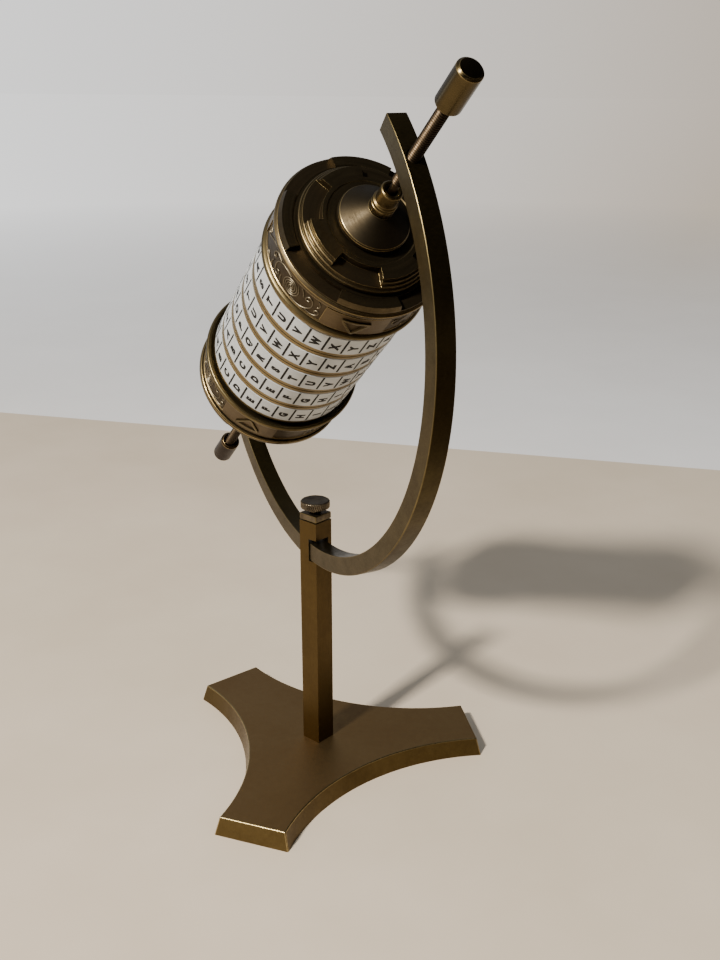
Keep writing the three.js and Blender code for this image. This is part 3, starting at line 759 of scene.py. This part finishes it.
def cap_pieces(end, body):
    """Flange, lip, tiers, cone and socket of one cap."""
    place, skin = PLACES[end], finishes[end]
    cap_skins = [skin["cap"], skin["edge"], skin["floor"]]

    low, high, radius = along_axis(f"{end}_flange", place)
    flange = turned([
        (BAND_WALL, low + 0.8), (radius - 1.1, low + 0.8), (radius - 1.1, low),
        (radius - 0.35, low), (radius, low + 0.45), (radius, high - 0.75), (radius - 0.3, high - 0.3),
        (radius - 0.9, high), (BAND_WALL, high)])
    soften(flange, 0.16, segments=3, slot=0)
    add_piece(f"{end}_rounded_flange", flange, place, body, [skin["rim"]],
              [f"{end}_flange"])

    low, high, radius = along_axis(f"{end}_lip", place)
    lip = turned([
        (BAND_WALL, low), (radius - 0.35, low), (radius, low + 0.4), (radius, high - 0.6),
        (radius - 0.6, high), (radius - 1.0, high), (BAND_WALL, high)])
    soften(lip, 0.12)
    add_piece(f"{end}_turned_lip", lip, place, body, [skin["cap"], skin["edge"]],
              [f"{end}_lip"])

    low, high, radius = along_axis(f"{end}_outer_tier", place)
    tier = turned([
        (13.3, low), (radius, low), (radius - 0.05, low + 0.3), (radius - 0.5, high),
        (17.3, high), (16.9, high - 0.25), (13.3, high - 0.25)])
    floor = low + 0.2
    tier = cut_away(tier, *low_sectors(17, radius + 2, floor, high + 1, TIER_FIRST))
    paint_shade_on_floors(tier, floor)
    soften(tier, 0.36, segments=3)
    add_piece(f"{end}_tier_ring", tier, place, body, cap_skins,
              [f"{end}_outer_tier"])

    low, high, radius = along_axis(f"{end}_crown", place)
    crown_top = 14.4
    rise, slope = (high - low) / 4, (radius - crown_top) / 3
    steps = []
    for index in range(3):
        reach = radius - index * slope
        steps += [(reach, low + index * rise), (reach - 0.08, low + (index + 0.82) * rise),
                  (reach - 0.25, low + (index + 1) * rise)]
    crown = turned([
        (0, low), *steps, (crown_top, low + 3 * rise), (crown_top, high), (10.6, high),
        (10.4, high - 0.2), (0, high - 0.2)])
    floor = high - 1.8
    crown = cut_away(crown, *low_sectors(11.6, radius + 1, floor, high + 1, CROWN_FIRST))
    paint_shade_on_floors(crown, floor)
    soften(crown, 0.3, segments=3)
    add_piece(f"{end}_crown_ring", crown, place, body, cap_skins, [f"{end}_crown"])

    low, high, radius = along_axis(f"{end}_hub_cone", place)
    cone = turned([
        (2.1, low), (radius, low), (radius, low + 0.9), (radius - 0.25, low + 1.35),
        (radius - 0.9, low + 1.75), (5.2, low + 3.5), (3.4, low + 4.6), (2.9, high),
        (2.1, high)], steps=96)
    soften(cone, 0.1)
    add_piece(f"{end}_cone", cone, place, body, [skin["hub"], skin["edge"]],
              [f"{end}_hub_cone"])

    low, high, radius = along_axis(f"{end}_socket_sleeve", place)
    root, shoulder = high - 6.4, high - 3.7
    tip = radius - 0.4
    sleeve = turned([
        (0, low), (1.7, low), (1.7, root), (radius, root), (radius, shoulder - 1.3),
        (radius - 0.14, shoulder - 1.2), (radius - 0.14, shoulder - 1.05), (radius, shoulder - 0.95),
        (radius, shoulder - 0.3), (tip, shoulder), (tip, high - 0.25), (tip - 0.25, high),
        (1.75, high), (1.65, high - 0.35), (1.3, high - 0.35), (1.3, low + 5.4), (0, low + 5.4)],
        steps=64)
    soften(sleeve, 0.06)
    add_piece(f"{end}_socket", sleeve, place, body, [skin["socket"], skin["edge"]],
              [f"{end}_socket_sleeve"])


CAP_BODIES = {"upper": "drawer", "lower": "lock_body"}
for end, body in CAP_BODIES.items():
    cap_pieces(end, body)

# %% [markdown]
# ## Decorated bands
#
# Between flange and lip runs a cast band: three plain panels, each with a raised pointer frame that
# shows where the letters line up, and three sunk panels filled with scrollwork. The scrolls are real
# raised ribs, so they catch light along their crests at any angle. They are drawn as flat curves
# with a round section, made into meshes, and rolled onto the band.

# %% Scrollwork, drawn flat in millimetres about the middle of the great spiral
RIB = 0.13
GROUND = 0.38
PANEL_REPEAT = 3
PLAIN_SWEEP = math.radians(45)
PLAIN_SLOT = 3
SPIRAL_TURNS = 2.15
SPIRAL_REACH = 2.75

TENDRILS = [
    [(1.0, -2.6), (3.0, -3.1), (5.2, -2.5), (6.6, -0.6), (6.3, 1.7), (4.9, 2.4), (4.1, 1.2),
     (4.7, 0.3), (5.4, 0.9)],
    [(5.3, -2.4), (6.9, -2.9), (8.4, -2.2), (8.7, -0.7), (7.7, -0.2), (7.1, -1.1), (7.8, -1.6)],
    [(7.3, 2.9), (8.2, 2.2), (8.3, 1.0), (7.6, 0.7)],
    [(2.6, 2.9), (3.6, 2.0), (3.7, 0.8)],
]
FAR_TENDRILS = [
    [(-8.9, 2.9), (-10.4, 2.5), (-12.4, 0.9), (-14.6, -1.2), (-15.7, 0.2), (-14.8, 1.7),
     (-13.6, 0.9)],
    [(-9.6, -2.9), (-10.8, -1.9), (-11.9, -2.5), (-11.4, -3.2), (-10.7, -2.9)],
    [(-12.9, 3.0), (-14.2, 2.4), (-15.9, 2.9)],
]


def rib(points):
    """A flat smooth curve with a round section, as a mesh."""
    curve = bpy.data.curves.new("rib", "CURVE")
    curve.dimensions = "3D"
    curve.bevel_depth, curve.bevel_resolution, curve.resolution_u = RIB, 1, 5
    curve.use_fill_caps = True
    spline = curve.splines.new("NURBS")
    spline.points.add(len(points) - 1)
    for point, (x, y) in zip(spline.points, points):
        point.co = (x, y, 0, 1)
    spline.order_u = 4
    spline.use_endpoint_u = True
    return curve_mesh(curve)


def spiral(turns, reach, start):
    """Points of a spiral that winds out from its middle."""
    count = round(turns * 10)
    points = []
    for index in range(count + 1):
        part = index / count
        angle = start + part * turns * math.tau
        points.append((reach * part * math.cos(angle), reach * part * math.sin(angle)))
    return points


def scroll_panel():
    """All ribs of one sunk panel, lying flat."""
    bm = bmesh.new()
    for start in (0, math.pi):
        gather(bm, rib(spiral(SPIRAL_TURNS, SPIRAL_REACH, start)))
    for points in TENDRILS:
        gather(bm, rib(points))
        gather(bm, rib([(-x, -y) for x, y in points]))
    for points in FAR_TENDRILS:
        gather(bm, rib(points))
    return bm


# %% Pointer frames and the band itself
FRAME_REACH = 3.5
FRAME_RIM = 0.6
FRAME_WIDEN = 1.25
FRAME_CORNER = 0.75
FRAME_RISE = 0.5
BORDER = 0.55


def pointer_frame():
    """A rounded triangle with a raised rim and a sunk middle, pointing at the rings."""
    bm = bmesh.new()
    bmesh.ops.create_circle(bm, cap_ends=True, segments=3, radius=FRAME_REACH)
    bmesh.ops.rotate(bm, matrix=Matrix.Rotation(math.pi, 3, "Z"), verts=bm.verts)
    bmesh.ops.scale(bm, vec=(FRAME_WIDEN, 1, 1), verts=bm.verts)
    bmesh.ops.bevel(bm, geom=bm.verts[:], offset=FRAME_CORNER, segments=4, profile=0.5,
                    affect="VERTICES", material=-1)
    face = max(bm.faces, key=lambda item: item.calc_area())
    bmesh.ops.inset_region(bm, faces=[face], thickness=FRAME_RIM, use_even_offset=True,
                           use_boundary=True)
    ring = [item for item in bm.faces if item is not face]
    # The sunk middle takes the frames' darker floor material: painted shade.
    face.material_index = 1
    raised = bmesh.ops.extrude_face_region(bm, geom=ring)["geom"]
    verts = [item for item in raised if isinstance(item, bmesh.types.BMVert)]
    bmesh.ops.translate(bm, vec=(0, 0, FRAME_RISE), verts=verts)
    bmesh.ops.recalc_face_normals(bm, faces=bm.faces)
    soften(bm, 0.12, slot=-1)
    return sliced(bm)


def band_ring(low, high, radius, first_plain):
    """A ring with a sunk ground, raised borders and three plain panels."""
    ground = radius - GROUND
    rim = radius - 0.15
    bm = turned([
        (BAND_WALL, low), (radius - 0.5, low), (rim, low + 0.25), (rim, low + BORDER),
        (ground, low + BORDER + 0.12), (ground, high - BORDER - 0.12), (rim, high - BORDER),
        (rim, high), (BAND_WALL, high)])
    panels = []
    for face in bm.faces:
        middle = face.calc_center_median()
        face.material_index = 0
        outward = face.normal.xy.length > 0.5 and middle.xy.length > ground - 0.3
        sunk = low + BORDER < middle.z < high - BORDER
        if not (outward and sunk):
            continue
        # The sunk ground takes the darker floor material: painted shade.
        face.material_index = SHADED_FLOOR_SLOT
        turn = (math.atan2(middle.y, middle.x) - first_plain) % (math.tau / PANEL_REPEAT)
        if turn < PLAIN_SWEEP / 2 or turn > math.tau / PANEL_REPEAT - PLAIN_SWEEP / 2:
            panels.append(face)
    flat = [face for face in panels if face.normal.xy.length > 0.99]
    raised = bmesh.ops.extrude_face_region(bm, geom=flat)["geom"]
    tops = {item for item in raised if isinstance(item, bmesh.types.BMVert)}
    for vert in tops:
        vert.co.xy *= (radius - 0.02) / vert.co.xy.length
    bmesh.ops.delete(bm, geom=[face for face in flat if face.is_valid], context="FACES_ONLY")
    for face in bm.faces:
        if all(vert in tops for vert in face.verts):
            face.material_index = PLAIN_SLOT
    bmesh.ops.recalc_face_normals(bm, faces=bm.faces)
    soften(bm, 0.07)
    return bm


def band_pieces(end, body, plain_middle, spiral_middle):
    """The band, its scrollwork and its pointer frames."""
    place, skin = PLACES[end], finishes[end]
    low, high, radius = along_axis(f"{end}_band", place)
    height = (low + high) / 2
    band = band_ring(low, high, radius, plain_middle)
    add_piece(f"{end}_cast_band", band, place, body,
              [skin["cap"], skin["edge"], skin["floor"], skin["plain"]], [f"{end}_band"])
    scrolls, frames = bmesh.new(), bmesh.new()
    for index in range(PANEL_REPEAT):
        turn = index * math.tau / PANEL_REPEAT
        rib_radius = radius - GROUND + RIB * 0.6
        gather(scrolls, wrap(scroll_panel(), rib_radius, spiral_middle + turn, height))
        gather(frames, wrap(pointer_frame(), radius - 0.1, plain_middle + turn, height))
    add_piece(f"{end}_scrollwork", scrolls, place, body, [skin["scroll"]])
    add_piece(f"{end}_pointer_frames", frames, place, body,
              [skin["rim"], skin["floor"]])


band_pieces("upper", "drawer", math.radians(343), math.radians(294))
band_pieces("lower", "lock_body", math.radians(-320), math.radians(-271))

# %% [markdown]
# ## Letter rings
#
# Five brass rings carry the alphabet on white strips between two thin rims. Every strip has 26 cells
# with a black line between neighbours. A word reads along the lock, so the letters lie on their
# sides. Text becomes a mesh while it is still flat, is sliced, and is wrapped on the strip. Its
# foot is sunk a little and its face stands slightly out, so that no gap shows under it.

# %% Rings and strips
RING_COUNT = 5
CELL = math.tau / len(string.ascii_uppercase)
FIRST_LETTERS = [math.radians(angle) for angle in (22.63, 2.05, 65.67, 264.41, 255.84)]
LETTER_SIZE = 2.9
LETTER_WEIGHT = 0.22
LETTER_SHIFT = -0.35
PRINT_SINK = 0.025
LINE_WIDTH = 0.56
LINE_SHIFT = 0.2
STRIP_SEAT = 18.9


def letter_mesh(letter):
    """One bold capital, flat and centred, about as tall as half a cell."""
    text = bpy.data.curves.new("letter", "FONT")
    text.body, text.size, text.offset, text.extrude = letter, LETTER_SIZE, LETTER_WEIGHT, 0.05
    text.align_x, text.align_y, text.resolution_u = "CENTER", "CENTER", 3
    bm = curve_mesh(text)
    bmesh.ops.remove_doubles(bm, verts=bm.verts, dist=1e-4)
    low = Vector([min(vert.co[axis] for vert in bm.verts) for axis in range(2)])
    high = Vector([max(vert.co[axis] for vert in bm.verts) for axis in range(2)])
    middle = (low + high) / 2
    bmesh.ops.translate(bm, vec=(-middle.x, -middle.y, 0), verts=bm.verts)
    bmesh.ops.rotate(bm, matrix=Matrix.Rotation(math.pi / 2, 3, "Z"), verts=bm.verts)
    return bm


def cell_line(length):
    """The black line between two cells."""
    bm = bmesh.new()
    bmesh.ops.create_cube(bm, size=1)
    bmesh.ops.scale(bm, vec=(LINE_WIDTH, length, 0.1), verts=bm.verts)
    return soften(bm, 0.04, segments=1, slot=-1)


def ring_pieces(index):
    """One brass ring with its strip, letters and lines."""
    number = index + 1
    body = f"ring_{number}"
    low, high, radius = along_axis(f"letter_ring_{number}", UPPER)
    strip_low, strip_high, strip_radius = along_axis(f"letter_strip_{number}", UPPER)
    middle = (low + high) / 2
    half = (strip_high - strip_low) / 2 + 0.15
    ring = turned([
        (15.8, low), (radius, low), (radius, middle - half), (18.6, middle - half),
        (18.6, middle + half), (radius, middle + half), (radius, high), (15.8, high)])
    soften(ring, 0.13, slot=0)
    add_piece(f"brass_ring_{number}", ring, UPPER, body, [ring_brass],
              [f"letter_ring_{number}"])
    strip = turned([
        (STRIP_SEAT, strip_low), (strip_radius, strip_low), (strip_radius, strip_high),
        (STRIP_SEAT, strip_high)], steps=156)
    soften(strip, 0.1, slot=-1)
    add_piece(f"enamel_strip_{number}", strip, UPPER, body, [white_enamel],
              [f"letter_strip_{number}"])
    print_radius = strip_radius - PRINT_SINK
    marks = bmesh.new()
    for place_in_row, letter in enumerate(string.ascii_uppercase):
        angle = FIRST_LETTERS[index] + place_in_row * CELL
        shape = sliced(letter_mesh(letter))
        gather(marks, wrap(shape, print_radius, angle, middle + LETTER_SHIFT))
        line = cell_line(strip_high - strip_low - 0.5)
        gather(marks, wrap(line, print_radius, angle + CELL / 2, middle + LINE_SHIFT))
    add_piece(f"printed_letters_{number}", marks, UPPER, body, [black_ink])


for index in range(RING_COUNT):
    ring_pieces(index)

# %% [markdown]
# ## Inner parts
#
# The tubes, the key rail, the code rings, the clamp's pad and the post's stud hardly ever show. Their
# frame shapes are right as they are, so they only get a finish.

# %% Finishes for the parts that keep their frame shape
INNER_FINISHES = {
    "post_stud": worked_steel, "clamp_pad": worked_steel, "retaining_ring": worked_steel,
    "key_rail": worked_steel, "outer_tube": ring_brass, "inner_tube": ring_brass,
    "upper_cap_core": finishes["upper"]["floor"],
    "lower_cap_core": finishes["lower"]["floor"],
}
for index in range(RING_COUNT):
    INNER_FINISHES[f"code_ring_{index + 1}"] = worked_steel
for node, material in INNER_FINISHES.items():
    frame["nodes"][node].material_slots[0].material = material

# %% [markdown]
# ## Room, light and camera
#
# The stand is shown on a pale table. Behind the table's far edge a second sheet fades into the
# wall, and the wall is only the world's colour: pale on the left, warmer and darker to the right.
# One soft light from the front left throws the long shadow. Brass shows what it reflects, so a dark
# card lies on the table on the camera's side. Only reflections see it, and it puts a deep brown into
# the faces that look down towards it.

# %% Table and surround
TABLE_TURN = math.radians(49)
TABLE_FAR_EDGE = 0.283
WALL_LEFT = (1.28, 1.28, 1.28)
WALL_RIGHT = (0.66, 0.565, 0.455)
WALL_RUN = Vector((0.444, 0.896, 0))


def wall_glow(tree, vector):
    """Pale wall light that turns warmer and darker along the wall, by the way one looks."""
    way = add_node(tree, "ShaderNodeVectorMath", {0: vector}, operation="NORMALIZE")
    run = add_node(tree, "ShaderNodeVectorMath", {0: way.outputs["Vector"], 1: WALL_RUN},
                   operation="DOT_PRODUCT").outputs["Value"]
    return ramp(tree, span(tree, run, 0.0, 1.0, -0.35, 0.35), [(0, WALL_LEFT), (1, WALL_RIGHT)])


def pale_material(name, colours, fade=None):
    """Pale paint with faint clouds. With fade, it turns into the wall's own light far away."""
    material, tree, shader = new_material(name)
    upright = place_vector(tree, STAND)
    clouds = noise(tree, upright, 0.012, detail=4)
    paint = ramp(tree, clouds, [(0.35, colours[0]), (0.7, colours[1])])
    shader.inputs["Roughness"].default_value = 0.6
    if fade:
        distance = add_node(tree, "ShaderNodeVectorMath", {0: upright}, operation="LENGTH")
        far = span(tree, distance.outputs["Value"], 0.0, 1.0, *fade)
        paint = mix(tree, far, paint, (0, 0, 0, 1))
        tree.links.new(wall_glow(tree, upright), shader.inputs["Emission Color"])
        tree.links.new(far, shader.inputs["Emission Strength"])
    tree.links.new(paint, shader.inputs["Base Color"])
    return material


def sheet(name, size, middle, material):
    """A flat stage sheet."""
    bm = bmesh.new()
    bmesh.ops.create_grid(bm, x_segments=1, y_segments=1, size=0.5)
    bmesh.ops.scale(bm, vec=(*size, 1), verts=bm.verts)
    bmesh.ops.translate(bm, vec=middle, verts=bm.verts)
    bmesh.ops.rotate(bm, matrix=Matrix.Rotation(TABLE_TURN, 3, "Z"), verts=bm.verts)
    linked(name, finished_mesh(name, bm, [material]))


TABLE_DEPTH = 1.6
sheet("table", (3.0, TABLE_DEPTH), (0, TABLE_FAR_EDGE - TABLE_DEPTH / 2, 0),
      pale_material("table_paint", ((0.49, 0.408, 0.308), (0.54, 0.457, 0.353))))
sheet("surround", (12.0, 12.0), (0, 0, -0.001),
      pale_material("surround_paint", ((0.66, 0.65, 0.64), (0.70, 0.69, 0.68)), (400, 1400)))

# %% Camera
CAMERA_PLACE = Vector((0.2660, -0.1185, 0.1881))
CAMERA_LOOK = Vector((-0.8427, 0.4177, -0.3397))
CAMERA_LENS = 43.77

camera_data = bpy.data.cameras.new("camera")
camera_data.lens = CAMERA_LENS
camera_data.sensor_width = 36
camera_data.clip_start = 0.01
camera = linked("camera", camera_data)
camera.location = CAMERA_PLACE
camera.rotation_mode = "QUATERNION"
camera.rotation_quaternion = CAMERA_LOOK.to_track_quat("-Z", "Y")
bpy.context.scene.camera = camera

# %% Lights and world
AIM = Vector((0, 0, 0.1))


def area_light(name, azimuth, elevation, distance, size, power, colour):
    """A square soft light aimed at the middle of the object, angles in degrees."""
    turn, rise = math.radians(azimuth), math.radians(elevation)
    way = Vector((math.cos(turn) * math.cos(rise), math.sin(turn) * math.cos(rise),
                  math.sin(rise)))
    data = bpy.data.lights.new(name, "AREA")
    data.size, data.energy, data.color = size, power, colour
    light = linked(name, data)
    light.location = AIM + way * distance
    light.rotation_mode = "QUATERNION"
    light.rotation_quaternion = (-way).to_track_quat("-Z", "Y")


area_light("key", azimuth=-64, elevation=40, distance=1.2, size=0.11, power=36,
           colour=(1.0, 0.94, 0.86))


# %% World and dark card
FILL = (0.46, 0.48, 0.5, 1)
BRIGHT_SIDE = Vector((-0.62, -0.66, 0.42)).normalized()
CARD_NEAR, CARD_FAR = Vector((0.13, -0.5)), Vector((1.5, 1.5))
CARD_HEIGHT = 0.001
CARD_BROWN = (0.06, 0.038, 0.016, 1)


def studio_world():
    """Pale to the camera; in reflections bright to the left and behind, dark on the camera's side."""
    world = bpy.data.worlds.new("studio")
    bpy.context.scene.world = world
    world.use_nodes = True
    tree = world.node_tree
    way = add_node(tree, "ShaderNodeTexCoord").outputs["Generated"]
    facing = add_node(tree, "ShaderNodeVectorMath", {0: way, 1: BRIGHT_SIDE},
                      operation="DOT_PRODUCT").outputs["Value"]
    glow = ramp(tree, span(tree, facing, 0.0, 1.0, -1.0, 1.0), [
        (0.25, (0.006, 0.006, 0.006)), (0.5, (0.03, 0.03, 0.03)), (0.68, (0.22, 0.22, 0.225)),
        (0.9, (0.42, 0.42, 0.43))])
    rays = add_node(tree, "ShaderNodeLightPath").outputs
    light = mix(tree, rays["Is Diffuse Ray"], glow, FILL)
    shown = mix(tree, rays["Is Camera Ray"], light, wall_glow(tree, way))
    tree.links.new(shown, tree.nodes["Background"].inputs["Color"])
    tree.nodes["Background"].inputs["Strength"].default_value = 1.0


def floor_card():
    """A dark brown card that shows only in reflections."""
    material, tree, shader = new_material("floor_card")
    shader.inputs["Base Color"].default_value = CARD_BROWN
    shader.inputs["Roughness"].default_value = 0.9
    corners = [(CARD_NEAR.x, CARD_NEAR.y), (CARD_FAR.x, CARD_NEAR.y), CARD_FAR,
               (CARD_NEAR.x, CARD_FAR.y)]
    bm = bmesh.new()
    verts = [bm.verts.new((*corner, CARD_HEIGHT)) for corner in corners]
    bmesh.ops.contextual_create(bm, geom=verts)
    card = linked("floor_card", finished_mesh("floor_card", bm, [material]))
    card.visible_camera = card.visible_diffuse = card.visible_shadow = False


studio_world()
floor_card()
